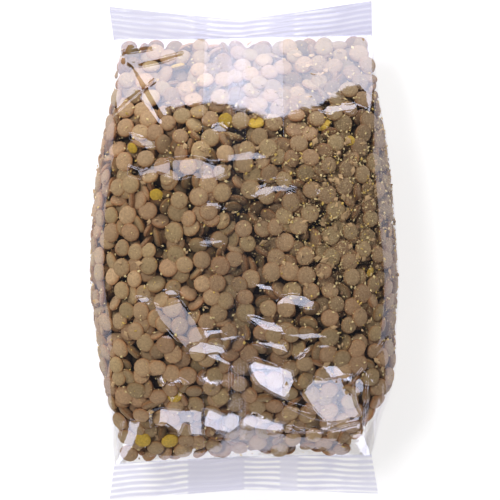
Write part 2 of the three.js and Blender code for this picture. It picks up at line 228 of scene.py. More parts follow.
# The dark inside of the heap, well under the lentils that show. It stands for the lentils
# that nobody sees, and closes the heap where two lentils leave a gap. Its near-black colour is
# painted shade, for the shade deep in the heap.
core_paint = bpy.data.materials.new("heap_shadow")
core_paint.use_nodes = True
core_shader = core_paint.node_tree.nodes["Principled BSDF"]
# Painted shade: near-black, like the shade deep among the hidden lentils.
core_shader.inputs["Base Color"].default_value = (0.022, 0.012, 0.010, 1)
core_shader.inputs["Roughness"].default_value = 0.9
CORE_ROWS, CORE_COLUMNS, CORE_INSET, CORE_FLOOR = 40, 48, 8.0, 5.0
core_along = np.linspace(0.06, 0.94, CORE_ROWS)
core_angle = np.linspace(0, 2 * np.pi, CORE_COLUMNS, endpoint=False)
core_points = bag_form(core_along[:, None], core_angle[None, :], clear=1, inset=CORE_INSET)
core_points[..., 2] = np.maximum(core_points[..., 2], CORE_FLOOR)
core_faces = [
    (r * CORE_COLUMNS + c, r * CORE_COLUMNS + (c + 1) % CORE_COLUMNS,
     (r + 1) * CORE_COLUMNS + (c + 1) % CORE_COLUMNS, (r + 1) * CORE_COLUMNS + c)[::-1]
    for r in range(CORE_ROWS - 1) for c in range(CORE_COLUMNS)
]
core_faces.append(tuple(range(CORE_COLUMNS)))
core_faces.append(tuple(reversed(range((CORE_ROWS - 1) * CORE_COLUMNS, CORE_ROWS * CORE_COLUMNS))))
heap_shade_core = new_mesh_piece("heap_shade_core", core_points.reshape(-1, 3) * MM, core_faces, core_paint)
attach(heap_shade_core, "root")
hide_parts("lentil_filling")

# Where the loose lentils lie. Each is pushed out towards the film until it touches the film
# or lentils that are already there, so most lie flat on the film and the rest fill in behind.
LENTIL_RADIUS, LENTIL_HALF = 3.25, 1.28
rng = np.random.default_rng(11)
form_rows, form_columns = np.meshgrid(
    np.linspace(0.004, 0.996, 260), np.linspace(0, 2 * np.pi, 421), indexing="ij"
)
form_points = bag_form(form_rows, form_columns, clear=1)
form_outward = form_normals(form_points)
cell_along = form_points[1:, :-1] - form_points[:-1, :-1]
cell_round = form_points[:-1, 1:] - form_points[:-1, :-1]
cell_area = np.linalg.norm(np.cross(cell_along, cell_round), axis=-1)
cell_share = (cell_area / cell_area.sum()).ravel()

# Balls that fill one lentil, for telling whether two would run into each other: place, radius.
RING = np.array([(math.cos(a), math.sin(a)) for a in np.arange(6) * math.pi / 3])
OUTER = np.array([(math.cos(a), math.sin(a)) for a in np.arange(9) * math.pi / 4.5])
BALLS = np.concatenate([
    [[0, 0, 0, 1.18]],
    np.column_stack([RING * 1.45, np.zeros(6), np.full(6, 1.0)]),
    np.column_stack([OUTER * 2.6, np.zeros(9), np.full(9, 0.52)]),
])


def turned_to(normal, spin):
    """Three axes of a lentil whose flat side faces along normal."""
    helper = np.array([0.0, 0.0, 1.0]) if abs(normal[2]) < 0.9 else np.array([1.0, 0.0, 0.0])
    u = np.cross(helper, normal)
    u /= np.linalg.norm(u)
    v = np.cross(normal, u)
    across, along = math.cos(spin), math.sin(spin)
    return np.array([u * across + v * along, v * across - u * along, normal])


LEVELS_X, LEVELS_Y = 60, 80  # the levels are kept for every millimetre out to here
LEVELS = np.array(face_levels(*np.meshgrid(
    np.arange(-float(LEVELS_X), LEVELS_X + 1), np.arange(-float(LEVELS_Y), LEVELS_Y + 1), indexing="ij"
)))
SEAL_HALF_WIDTH, SEAL_SLACK, TABLE_GAP = 46, 0.2, 0.1
END_TEST_Y, ROOF_SLACK, SIDE_ROOM = 45, 0.3, 1.5
HEAP_ROOM, SEARCH_MARGIN, TOUCH_REACH = 6000, 8, 6.6
OVERLAP_SLACK, DEPTH_STEP = 0.5, 0.4


def inside_film(centre, tilt_y, tilt_z):
    """Whether a lentil that reaches tilt_y along and tilt_z up and down lies inside the film."""
    x, y, z = centre
    across = np.clip((x + SEAL_HALF_WIDTH) / (2 * SEAL_HALF_WIDTH), 0, 1)
    if y - tilt_y < np.interp(across, FIFTHS, BOTTOM_INNER) - SEAL_SLACK:
        return False
    if y + tilt_y > np.interp(across, FIFTHS, TOP_INNER) + SEAL_SLACK or z - tilt_z < TABLE_GAP:
        return False
    if abs(y) <= END_TEST_Y:
        return True
    roof, ground, room = LEVELS[:, int(round(x)) + LEVELS_X, int(round(y)) + LEVELS_Y]
    too_high = z + 0.3 * tilt_z > roof + ROOF_SLACK
    too_low = z - 0.25 * tilt_z < ground
    return not (too_high or too_low or room < SIDE_ROOM)


class Heap:
    """The lentils placed so far: their axes, centres, sizes, and the balls that fill each."""

    def __init__(self):
        self.axes, self.sizes, self.kinds, self.depths = [], [], [], []
        self.centres = np.zeros((HEAP_ROOM, 3))
        self.balls = np.zeros((HEAP_ROOM, len(BALLS), 3))
        self.count = 0

    def overlap(self, balls, near):
        """Whether a lentil's balls run well into those of its neighbours."""
        gap = np.linalg.norm(self.balls[near][:, :, None, :] - balls[None, None, :, :], axis=-1)
        reach = BALLS[:, 3][:, None] + BALLS[:, 3][None, :]
        return (gap - reach).min() < -OVERLAP_SLACK if len(near) else False

    def add(self, centre, axes, size, kind, depth):
        self.centres[self.count] = centre
        self.balls[self.count] = centre + (BALLS[:, :3] * size) @ axes
        self.count += 1
        self.axes.append(axes)
        self.sizes.append(size)
        self.kinds.append(kind)
        self.depths.append(depth)

    def push_out(self, point, outward, axes, size, least, most, kind):
        """Adds a lentil under a point of the film, as near to it as there is room, if any."""
        facing = abs(axes[2] @ outward)
        reach = size * math.hypot(LENTIL_RADIUS * math.sqrt(max(0, 1 - facing**2)), LENTIL_HALF * facing)
        local = BALLS[:, :3] * size @ axes
        tilt_y = size * LENTIL_RADIUS * math.sqrt(max(0, 1 - axes[2][1] ** 2))
        tilt_z = size * math.hypot(LENTIL_RADIUS * math.sqrt(max(0, 1 - axes[2][2] ** 2)), LENTIL_HALF)
        away = np.linalg.norm(self.centres[: self.count] - point, axis=1)
        near_all = np.nonzero(away < most + SEARCH_MARGIN)[0]
        for depth in np.arange(reach + least, reach + most + 1e-6, DEPTH_STEP):
            centre = point - outward * depth
            if not inside_film(centre, tilt_y, tilt_z):
                continue
            near = near_all[np.linalg.norm(self.centres[near_all] - centre, axis=1) < TOUCH_REACH]
            if not self.overlap(centre + local, near):
                self.add(centre, axes, size, kind, depth)
                return


def surface_sample(number):
    """Random points spread evenly over the bag's surface, and the outward direction there."""
    cells = rng.choice(len(cell_share), number, p=cell_share)
    rows, columns = np.divmod(cells, form_points.shape[1] - 1)
    a, b = rng.random((2, number, 1))

    def mix(grid):
        low = grid[rows, columns] * (1 - a) + grid[rows + 1, columns] * a
        high = grid[rows, columns + 1] * (1 - a) + grid[rows + 1, columns + 1] * a
        return low * (1 - b) + high * b

    outward = mix(form_outward)
    return mix(form_points), outward / np.linalg.norm(outward, axis=1, keepdims=True)


def leaning(outward, lean):
    """A direction that leans away from outward by the given angle, to a random side."""
    side = np.cross(outward, rng.normal(size=3))
    side /= np.linalg.norm(side)
    return outward * math.cos(lean) + side * math.sin(lean)


heap = Heap()
# A few have lost their hull and are yellow: across, along, size, lean from the film.
HULLED_PLACES = [
    (-35.6, -66.9, 1.00, 10), (-26.2, -67.6, 0.98, 14), (-24.1, -51.0, 0.85, 38), (-5.9, 45.8, 0.85, 30),
    (5.2, 44.8, 0.92, 24), (28.0, 44.2, 0.80, 52), (36.9, 37.9, 0.55, 30), (-39.0, 35.4, 0.60, 30),
    (-30.7, 19.2, 0.72, 35), (44.4, -7.8, 0.60, 40), (-23.4, 65.6, 0.85, 50),
]
for x, y, size, lean in HULLED_PLACES:
    flat_place = np.argmin(
        np.hypot(form_points[..., 0] - x, form_points[..., 1] - y) + 100 * (form_outward[..., 2] < 0.1)
    )
    row, column = np.unravel_index(flat_place, form_points.shape[:2])
    point, outward = form_points[row, column], form_outward[row, column]
    axes = turned_to(leaning(outward, math.radians(lean)), 0.0)
    heap.push_out(point, outward, axes, size, 0.0, 3.0, "hulled")
PASSES = [  # tries, share lying flat, least and most depth below the film
    (5000, 0.72, 0.0, 0.6),
    (8000, 0.40, 0.0, 2.8),
    (9000, 0.45, 1.0, 7.0),
]
for tries, flat_share, least, most in PASSES:
    points, outwards = surface_sample(tries)
    for point, outward in zip(points, outwards):
        if rng.random() < flat_share:
            lean = abs(rng.normal(0, math.radians(11)))
        else:
            lean = math.radians(rng.uniform(20, 80))
        axes = turned_to(leaning(outward, lean), rng.uniform(0, 2 * math.pi))
        heap.push_out(point, outward, axes, rng.normal(1, 0.06), least, most, "brown")

# A lentil is a flat lens with a rounded rim, here in two joined lots: the lentils next to the
# film, and those behind them. Its skin is matt and tan-olive. At the rim it is redder, and
# darker as painted shade for the dark outline round each lentil.
RIM_TILT = 52


def lens_shape(sides, rings):
    """One lens, pressed from a short cylinder: its points, its faces, and for every corner of
    a face a normal, which bends over smoothly to a crisp rim."""
    bpy.ops.object.select_all(action="DESELECT")
    bpy.ops.mesh.primitive_cylinder_add(
        vertices=sides, radius=LENTIL_RADIUS, depth=LENTIL_HALF * 2, end_fill_type="NGON"
    )
    lens = bpy.context.object
    bpy.ops.object.mode_set(mode="EDIT")
    for level in (0.0, *(s * LENTIL_HALF * height for _, height, _ in rings[1:] for s in (-1, 1))):
        bpy.ops.mesh.select_all(action="SELECT")
        bpy.ops.mesh.bisect(plane_co=(0, 0, level), plane_no=(0, 0, 1))
    bpy.ops.object.mode_set(mode="OBJECT")
    points = np.array([v.co[:] for v in lens.data.vertices])
    faces = [tuple(p.vertices) for p in lens.data.polygons]
    bpy.data.objects.remove(lens)
    outwards = points * [1, 1, 0] / LENTIL_RADIUS
    tilts = np.full(len(points), RIM_TILT)
    for radius, height, tilt in rings:
        ring = np.abs(np.abs(points[:, 2]) - LENTIL_HALF * height) < 0.01
        points[ring, :2] *= radius
        tilts[ring] = tilt
    tilts = np.radians(tilts)[:, None]
    corners = []
    for face in faces:
        up = np.sign(points[list(face), 2].sum())
        v = list(face)
        corners.append(outwards[v] * np.sin(tilts[v]) + np.array([0, 0, up]) * np.cos(tilts[v]))
    return points, faces, np.concatenate(corners)


skin = bpy.data.materials.new("lentil_skin")
skin.use_nodes = True
nodes, links = skin.node_tree.nodes, skin.node_tree.links
skin_shader = nodes["Principled BSDF"]
skin_shader.inputs["Roughness"].default_value = 0.6
skin_shader.inputs["Specular IOR Level"].default_value = 0.35
tint = nodes.new("ShaderNodeVertexColor")
tint.layer_name = "tint"
place = nodes.new("ShaderNodeTexCoord")
mottle = nodes.new("ShaderNodeTexNoise")
mottle.inputs["Scale"].default_value = 1300
mottle.inputs["Detail"].default_value = 4
links.new(place.outputs["Object"], mottle.inputs["Vector"])
mottle_range = nodes.new("ShaderNodeMapRange")
mottle_range.inputs["From Min"].default_value = 0.3
mottle_range.inputs["From Max"].default_value = 0.7
mottle_range.inputs["To Min"].default_value = 0.80
mottle_range.inputs["To Max"].default_value = 1.18
links.new(mottle.outputs["Fac"], mottle_range.inputs["Value"])
speckled = nodes.new("ShaderNodeVectorMath")
speckled.operation = "SCALE"
links.new(tint.outputs["Color"], speckled.inputs[0])
links.new(mottle_range.outputs["Result"], speckled.inputs["Scale"])
# Fine pale dust lies on the skins, most of it in the upper right.
dust_noise = nodes.new("ShaderNodeTexNoise")
dust_noise.inputs["Scale"].default_value = 2600
dust_noise.inputs["Detail"].default_value = 2
links.new(place.outputs["Object"], dust_noise.inputs["Vector"])
dust_place = nodes.new("ShaderNodeVectorMath")
dust_place.operation = "DISTANCE"
dust_place.inputs[1].default_value = (0.036, 0.014, 0.045)
links.new(place.outputs["Object"], dust_place.inputs[0])
dust_edge = nodes.new("ShaderNodeMapRange")
dust_edge.inputs["From Min"].default_value = 0.015
dust_edge.inputs["From Max"].default_value = 0.075
dust_edge.inputs["To Min"].default_value = 0.585
dust_edge.inputs["To Max"].default_value = 0.74
links.new(dust_place.outputs["Value"], dust_edge.inputs["Value"])
dust_step = nodes.new("ShaderNodeMath")
dust_step.operation = "GREATER_THAN"
links.new(dust_noise.outputs["Fac"], dust_step.inputs[0])
links.new(dust_edge.outputs["Result"], dust_step.inputs[1])
dust_share = nodes.new("ShaderNodeMath")
dust_share.operation = "MULTIPLY"
dust_share.inputs[1].default_value = 0.6
links.new(dust_step.outputs["Value"], dust_share.inputs[0])
dusted = nodes.new("ShaderNodeMix")
dusted.data_type = "RGBA"
dusted.inputs[7].default_value = (0.60, 0.47, 0.28, 1)
links.new(dust_share.outputs["Value"], dusted.inputs["Factor"])
links.new(speckled.outputs["Vector"], dusted.inputs[6])
links.new(dusted.outputs[2], skin_shader.inputs["Base Color"])
grain = nodes.new("ShaderNodeBump")
grain.inputs["Strength"].default_value = 0.15
grain.inputs["Distance"].default_value = 0.0002
links.new(mottle.outputs["Fac"], grain.inputs["Height"])
links.new(grain.outputs["Normal"], skin_shader.inputs["Normal"])


def copies_of(shape, name, picks, colour_of, material):
    """Joins copies of one lens shape, one at each picked place, with its colour on it."""
    lens_points, lens_faces, lens_corners = shape
    rim = np.clip((np.hypot(lens_points[:, 0], lens_points[:, 1]) / LENTIL_RADIUS - 0.86) / 0.14, 0, 1)
    all_points, all_faces, all_tints, all_corners = [], [], [], []
    for n, i in enumerate(picks):
        pick = np.random.default_rng(5000 + i)
        stretch = np.array([pick.uniform(0.95, 1.04), pick.uniform(0.97, 1.05), pick.uniform(0.85, 1.0)])
        all_points.append(heap.centres[i] + (lens_points * stretch * heap.sizes[i]) @ heap.axes[i])
        all_corners.append(lens_corners @ heap.axes[i])
        all_faces.extend([tuple(v + n * len(lens_points) for v in face) for face in lens_faces])
        face_colour, rim_colour = colour_of(i)
        all_tints.append(face_colour * (1 - rim[:, None]) + rim_colour * rim[:, None])
    piece = new_mesh_piece(name, np.concatenate(all_points) * MM, all_faces, material)
    piece.data.normals_split_custom_set(np.concatenate(all_corners).tolist())
    colours = piece.data.color_attributes.new("tint", "FLOAT_COLOR", "POINT")
    flat = np.concatenate([np.concatenate(all_tints), np.ones((len(colours.data), 1))], axis=1)
    colours.data.foreach_set("color", flat.astype(np.float32).ravel())
    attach(piece, "root")


TAN = np.array([0.492, 0.330, 0.180])
OLIVE = np.array([0.412, 0.296, 0.148])
REDDISH = np.array([0.456, 0.282, 0.152])
# The rim: redder, and darker as painted shade for the dark outline round each lentil.
BROWN_RIM_AND_SHADE = np.array([0.78, 0.55, 0.38])


def brown_tint_and_shade(i):
    """Colour of a brown lentil's face and rim, with painted shade that makes it darker deep down in the heap
    and towards the right.
    """
    pick = np.random.default_rng(1000 + i)
    x, y, _ = heap.centres[i]
    t = pick.random()
    face = TAN * (1 - t) + (OLIVE if pick.random() < 0.6 else REDDISH) * t
    # Painted shade: the deeper a lentil lies, the darker it is, but much less so near the ends.
    darkest_shade = 0.14 if abs(y) < 52 else 0.7
    face = face * pick.uniform(0.87, 1.22) * np.clip(1.42 - 0.19 * heap.depths[i], darkest_shade, 1)
    # Painted shade: lentils right of the middle and away from the lower end are darker.
    face = face * (1 - 0.23 * np.clip((x - 2) / 32, 0, 1) * np.clip((y + 45) / 40, 0, 1))
    return face, face * BROWN_RIM_AND_SHADE


HULLED, HULLED_RIM = np.array([0.66, 0.44, 0.055]), np.array([0.9, 0.82, 0.6])


def lentil_tint_and_shade(i):
    """Brown skin with its painted shade, or the yellow of a lentil that has lost its hull."""
    if heap.kinds[i] == "brown":
        return brown_tint_and_shade(i)
    face = HULLED * np.random.default_rng(3000 + i).uniform(0.85, 1.1)
    return face, face * HULLED_RIM


OUTER_DEPTH = 3.6
outer = [i for i in range(heap.count) if heap.depths[i] < OUTER_DEPTH]
inner = [i for i in range(heap.count) if heap.depths[i] >= OUTER_DEPTH]
ROUND_RINGS = ((0.62, 1.0, 9), (0.90, 0.66, 26))  # radius, height, and tilt of the normal there
copies_of(lens_shape(14, ROUND_RINGS), "lentils", outer, lentil_tint_and_shade, skin)
copies_of(lens_shape(10, ((0.72, 1.0, 12),)), "lentils_behind", inner, lentil_tint_and_shade, skin)

# Chaff: crumbs of husk and split lentils, dry and matt, that cling to the inside of the film.
# Small chips of cream, yellow and brown, most of them in the upper right of the bag.
chip_paint = bpy.data.materials.new("chaff")
chip_paint.use_nodes = True
chip_shader = chip_paint.node_tree.nodes["Principled BSDF"]
chip_shader.inputs["Roughness"].default_value = 0.8
chip_tint = chip_paint.node_tree.nodes.new("ShaderNodeVertexColor")
chip_tint.layer_name = "tint"
chip_paint.node_tree.links.new(chip_tint.outputs["Color"], chip_shader.inputs["Base Color"])

bpy.ops.object.select_all(action="DESELECT")
bpy.ops.mesh.primitive_uv_sphere_add(segments=4, ring_count=2, radius=1.0)
chip = bpy.context.object
chip_points = np.array([v.co[:] for v in chip.data.vertices])
chip_faces = [tuple(p.vertices) for p in chip.data.polygons]
bpy.data.objects.remove(chip)
CHIP_COLOURS = np.array([[0.82, 0.66, 0.33], [0.78, 0.55, 0.14], [0.56, 0.38, 0.20], [0.33, 0.20, 0.11]])
CHIP_SHARES = [0.50, 0.16, 0.20, 0.14]
chip_rng = np.random.default_rng(77)
CHIP_TRIES, FLAKE_EVERY = 46000, 45
chip_at, chip_out = surface_sample(CHIP_TRIES)
dusty = np.exp(-(((chip_at[:, 0] - 36) / 22) ** 2) - ((chip_at[:, 1] - 14) / 34) ** 2)
dusty += 0.35 * np.exp(-(((chip_at[:, 0] - 5) / 30) ** 2) - ((chip_at[:, 1] - 45) / 22) ** 2)
keep = chip_rng.random(len(chip_at)) < np.where(chip_out[:, 2] > 0, 0.18 + 0.95 * dusty, 0.05)
keep &= chip_at[:, 2] > 1.5
chip_sets, chip_joined, chip_tints = [], [], []
for n, (at, out) in enumerate(zip(chip_at[keep], chip_out[keep])):
    size = 0.13 + 0.46 * chip_rng.random() ** 5
    flake = n % FLAKE_EVERY == 0
    size = chip_rng.uniform(0.7, 1.3) if flake else size
    turn = turned_to(leaning(out, chip_rng.uniform(0, 0.9)), chip_rng.uniform(0, 6.3))
    shape = chip_points * chip_rng.uniform(0.6, 1.25, chip_points.shape) * [size * 1.5, size, size * 0.5]
    chip_sets.append(at - out * chip_rng.uniform(-0.1, 0.5) + shape @ turn)
    chip_joined.extend([tuple(v + n * len(chip_points) for v in face) for face in chip_faces])
    colour = CHIP_COLOURS[2 if flake else chip_rng.choice(4, p=CHIP_SHARES)] * chip_rng.uniform(0.8, 1.15)
    chip_tints.append(np.tile([*colour, 1.0], (len(chip_points), 1)))
chaff = new_mesh_piece("chaff", np.concatenate(chip_sets) * MM, chip_joined, chip_paint, smooth=False)
chaff_colours = chaff.data.color_attributes.new("tint", "FLOAT_COLOR", "POINT")
chaff_colours.data.foreach_set("color", np.concatenate(chip_tints).astype(np.float32).ravel())
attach(chaff, "root")

# The film of the bag: a clear, thin and glossy plastic sheet. It lets light straight through
# and mirrors a share of it, least where it is seen edge on. A little haze makes it milky.
GLANCE_COLOUR = (0.79, 0.81, 1.0)


def film_finish(name, tint_colour, mirror, haze, roughness, dents=0.00004):
    film = bpy.data.materials.new(name)
    film.use_nodes = True
    nodes, links = film.node_tree.nodes, film.node_tree.links
    nodes.remove(nodes["Principled BSDF"])
    out = nodes["Material Output"]
    clear = nodes.new("ShaderNodeBsdfTransparent")
    clear.inputs["Color"].default_value = (*tint_colour, 1)
    shine = nodes.new("ShaderNodeBsdfAnisotropic")
    shine.inputs["Color"].default_value = (*GLANCE_COLOUR, 1)
    shine.inputs["Roughness"].default_value = roughness
    place = nodes.new("ShaderNodeTexCoord")
    crumple = nodes.new("ShaderNodeTexNoise")
    crumple.inputs["Scale"].default_value = 300
    crumple.inputs["Detail"].default_value = 1.5
    links.new(place.outputs["Object"], crumple.inputs["Vector"])
    dented = nodes.new("ShaderNodeBump")
    dented.inputs["Distance"].default_value = dents
    links.new(crumple.outputs["Fac"], dented.inputs["Height"])
    links.new(dented.outputs["Normal"], shine.inputs["Normal"])
    milk = nodes.new("ShaderNodeBsdfDiffuse")
    milk.inputs["Color"].default_value = (0.75, 0.75, 0.86, 1)
    glance = nodes.new("ShaderNodeLayerWeight")
    glance.inputs["Blend"].default_value = 0.5
    edge = nodes.new("ShaderNodeMath")
    edge.operation = "POWER"
    edge.inputs[1].default_value = 2.0
    links.new(glance.outputs["Facing"], edge.inputs[0])
    strength = nodes.new("ShaderNodeMath")
    strength.operation = "MULTIPLY_ADD"
    strength.inputs[1].default_value = -0.75 * mirror
    strength.inputs[2].default_value = mirror
    links.new(edge.outputs["Value"], strength.inputs[0])
    veil = nodes.new("ShaderNodeMixShader")
    veil.inputs["Fac"].default_value = haze
    links.new(clear.outputs["BSDF"], veil.inputs[1])
    links.new(milk.outputs["BSDF"], veil.inputs[2])
    mix = nodes.new("ShaderNodeMixShader")
    links.new(strength.outputs["Value"], mix.inputs["Fac"])
    links.new(veil.outputs["Shader"], mix.inputs[1])
    links.new(shine.outputs["BSDF"], mix.inputs[2])
    links.new(mix.outputs["Shader"], out.inputs["Surface"])
    return film


# The skin: one sheet of film wrapped round the lentils and the empty corners, drawn tight
# below and slack above. Its points are spread evenly, with more of them on the upper face.
clear_film = film_finish("clear_film", (0.97, 0.965, 0.965), 0.145, 0.002, 0.055)
SKIN_ROWS, SKIN_UPPER, SKIN_LOWER, SKIN_GAP = 440, 400, 80, 0.3
skin_along = np.linspace(0.0, 1.0, SKIN_ROWS)


def turned(steps):
    """Angle after a number of quarter turns, with short steps near the start and end of each."""
    part = steps % 1
    return (np.floor(steps) + part**3 / (part**3 + (1 - part) ** 3)) * np.pi / 2


def even_angles(start, count):
    """For each row of the film, angles that spread points evenly along half of its girth."""
    steps = start + np.linspace(0, 2, 1001)
    girth = bag_form(skin_along[:, None], turned(steps)[None, :], clear=0, inset=-SKIN_GAP)
    reach = np.cumsum(np.linalg.norm(np.diff(girth, axis=1, prepend=girth[:, :1]), axis=-1), axis=1)
    shares = np.linspace(0, 1, count, endpoint=False)
    return turned(np.array([np.interp(shares * row[-1], row, steps) for row in reach]))


skin_angle = np.concatenate([even_angles(0, SKIN_UPPER), even_angles(2, SKIN_LOWER)], axis=1)
skin_points = bag_form(skin_along[:, None], skin_angle, clear=0, inset=-SKIN_GAP)
skin_outward = form_normals(np.concatenate([skin_points, skin_points[:, :1]], axis=1))[:, :-1]


def waves(x, y, seed, size, count=26):
    """Smooth random waves about size millimetres long, between about -1 and 1."""
    pick = np.random.default_rng(seed)
    total = np.zeros(np.broadcast(x, y).shape)
    for _ in range(count):
        heading, phase = pick.uniform(0, 2 * np.pi, 2)
        length = size * pick.uniform(0.6, 1.6)
        total += np.sin((x * math.cos(heading) + y * math.sin(heading)) * 2 * np.pi / length + phase)
    return total / math.sqrt(count / 2) / 1.6


def upper_face(along, x):
    """The film's upper face at a share along and a place across, in millimetres."""
    half = np.where(x < 0, *half_widths(BOTTOM_LINE_Y + along * LINE_LENGTH))
    end = np.clip(1 - np.minimum(along, 1 - along) * LINE_LENGTH / END_REACH, 0, 1)
    angle = np.arccos(np.sign(x) * np.clip(np.abs(x) / half, 0, 1) ** ((UPPER_POWER + END_POWER * end) / 2))
    return bag_form(along, angle, clear=0, inset=-SKIN_GAP)


# How the slack film lies. Where it is flat between folds it mirrors one of the lights, or the
# dark room: the light, and the corners of the flat place, across and along.
NO_LIGHT = (0.0, 0.62, 0.62)
FLATS = [
    (NO_LIGHT, [(-37.2, 65.1), (-28.9, 67.3), (-21.7, 69.2), (-21, 68.2), (-28.6, 65.4), (-36.5, 63.7)]),
    (NO_LIGHT, [(-43.1, 69.6), (-38.3, 70.9), (-32.4, 71.3), (-32.1, 70.2), (-37.9, 69.2), (-42.4, 68.2)]),
    (CARD_RIGHT, [(3.1, -31.7), (4.9, -30.6), (14.1, -31.7), (14.9, -33.6), (16.1, -36), (13.5, -34.3),
        (10, -33.4)]),
    (CARD_RIGHT, [(17.2, -35.7), (22.8, -33.3), (23, -33.8), (21.3, -35.1), (18.4, -36.8), (17.4, -36.3)]),
    (PANEL_MIDDLE, [(1.1, -38.4), (3.4, -36.8), (14.1, -40.3), (16.7, -41.4), (17.8, -45.3), (15.6, -49.1),
        (14.1, -50.9), (9.2, -48.6), (4.9, -45.7), (2.8, -42.6)]),
    (PANEL_RIGHT, [(19.7, -48.6), (21.5, -45.7), (23.8, -43.4), (27.5, -44.3), (32.4, -43.7),
        (35.6, -42.8), (37.8, -43.5), (37.8, -49.1), (38.7, -53.1), (40.7, -57.1), (34.4, -59.1),
        (30.1, -59.1), (25.3, -58), (22.7, -57.4), (15.8, -54), (14, -52.2), (16.9, -53.1), (23.5, -54.9),
        (22.4, -52.3), (21.3, -50.9)]),
    (LOW_RIGHT, [(-1, -57.1), (0.4, -56.3), (2.9, -56), (10.1, -59.1), (14.1, -60), (14.1, -62.9),
        (8.7, -62.7), (3.8, -61.7), (1.2, -60.3), (-1, -60.9)]),
    (LOW_LEFT, [(-14.2, -54.6), (-10.7, -55.2), (-6.2, -56.9), (-4.6, -55.4), (-1, -55.7), (-1, -60.2),
        (-5, -63.2), (-8.2, -62.7), (-11.4, -61.9), (-14.2, -61.9)]),
    (LOW_LEFT, [(-32.4, -56.1), (-28.8, -54.6), (-25.2, -54.9), (-20.8, -55.2), (-17.9, -54.2),
        (-14.2, -54.6), (-14.2, -63.4), (-17.4, -63.9), (-18.8, -63.4), (-19.3, -59.5), (-20.8, -60),
        (-22.7, -64.1), (-23.4, -62.4), (-27.6, -60.5), (-31, -61), (-32.4, -61)]),
    (LOW_RIGHT, [(14.1, -60.5), (16.9, -60.9), (19.3, -62), (24.4, -62.3), (28.3, -61.4), (31.6, -60.3),
        (35, -59.1), (35, -59.8), (31.6, -61.1), (28.3, -62.2), (24.4, -62.9), (18.7, -62.9),
        (14.7, -62.4)]),
    (PANEL_MIDDLE, [(-15.7, -42.6), (-13.1, -42.8), (-11.8, -44.3), (-5.8, -44.8), (-5.8, -45.5),
        (-9.4, -46.1), (-11.8, -45.7), (-14, -44.8)]),
    (PANEL_MIDDLE, [(-27.2, -45), (-23.4, -44.2), (-21.7, -44), (-19.3, -45.5), (-22.7, -45.6),
        (-26.9, -45.6)]),
    (PANEL_MIDDLE, [(-29.7, -43.8), (-28.8, -42.2), (-26.6, -45.7), (-27.6, -46.5)]),
    (SOFT_LEFT, [(-31, -17.7), (-27.9, -19.1), (-21.4, -17), (-16.2, -23.9), (-14.1, -29.5),
        (-14.1, -34.3), (-19.6, -34.3), (-24.1, -29.5), (-28.9, -23.9)]),
    (CARD_RIGHT, [(-14.1, -26.7), (-8.2, -26.7), (-5.8, -28.4), (-12.4, -29.1), (-14.1, -29.5)]),
    (CARD_RIGHT, [(-19.6, -34.6), (-18.9, -32.6), (-14.5, -30.8), (-6.9, -32.6), (-5.5, -35), (-8.2, -36)]),
    (CARD_RIGHT, [(-12.4, -35.3), (-8.9, -35), (-5.1, -38.1), (-4.1, -39.5), (-6.2, -39.1)]),
    (CARD_RIGHT, [(-36.9, -15.7), (-32.4, -15.7), (-31.7, -17), (-32.4, -18.1), (-35.2, -18.1)]),
    (CARD_RIGHT, [(-27.6, -13.6), (-24.8, -12.9), (-21.4, -15), (-22, -15.7), (-26.9, -15.3)]),
    (CARD_RIGHT, [(1.2, -22.2), (3.8, -22.2), (13.3, -25.7), (14.5, -28.3), (10.7, -28.3), (5.6, -26.5),
        (1.8, -23.9)]),
    (CARD_RIGHT, [(3, -11), (6.4, -11), (9.9, -12.7), (11.6, -14.5), (7.3, -13.6), (3.8, -12.2)]),
    (CARD_RIGHT, [(10.7, -17.9), (13.3, -15.3), (15.9, -14.5), (21.1, -15.3), (24.5, -17.9), (23.7, -20.1),
        (19.4, -19.6), (15, -18.4)]),
    (CARD_LEFT, [(-16.2, 3), (-13.4, 4), (-7.6, 3.7), (-6.5, 2.6), (-10, 1.9), (-14.1, 1.9)]),
    (CARD_LEFT, [(-13.1, 16.9), (-10.7, 16.6), (-7.9, 15.7), (-5.8, 14.7), (-7.6, 14.2), (-10.7, 15),
        (-13.1, 15.7)]),
    (CARD_LEFT, [(2.3, 19.1), (4.7, 21.5), (7.7, 22.4), (13.9, 22.7), (17.8, 21.8), (18.1, 20.9),
        (14.2, 19.7), (10.7, 20), (4.7, 18.2)]),
    (CARD_LEFT, [(4.7, 24.4), (14.2, 25.4), (14.5, 24.6), (5.3, 23.8)]),
    (CARD_LEFT, [(-24.8, 31.3), (-16.7, 31.9), (-14.9, 31.6), (-9.6, 29.2), (-6, 28.6), (-6, 26.3),
        (-9.6, 24.5), (-13.8, 23.9), (-17.9, 25.7), (-23.2, 23.9), (-24.8, 25)]),
    (CARD_LEFT, [(-39.3, 29.2), (-34.5, 27.5), (-31, 29.2), (-24.8, 31.3), (-24.8, 25), (-29.2, 26.8),
        (-32.7, 25.7), (-35.7, 24.5), (-39.3, 25.7)]),
    (CARD_LEFT, [(-39, 40.2), (-35.2, 39.2), (-31, 37.8), (-30.7, 35.7), (-33.8, 35.4), (-36.5, 37.1),
        (-39, 38.2)]),
    (CARD_LEFT, [(-11.4, 41.3), (-10.3, 42.8), (-7.9, 43.2), (-5.5, 41.6), (-6.2, 40.4), (-10.3, 40.4)]),
    (CARD_LEFT, [(-8.1, 31.4), (-6, 31.4), (-6, 30.6), (-8.1, 30.6)]),
    (CARD_LEFT, [(24, 20.6), (26.3, 21.3), (26.9, 20.2), (24.5, 19.5)]),
    (STRIP_TOP, [(26.4, 48.3), (28.5, 50.6), (36.8, 50.1), (38, 50.6), (41.6, 48.9), (38, 47.4),
        (29.1, 47.4)]),
]
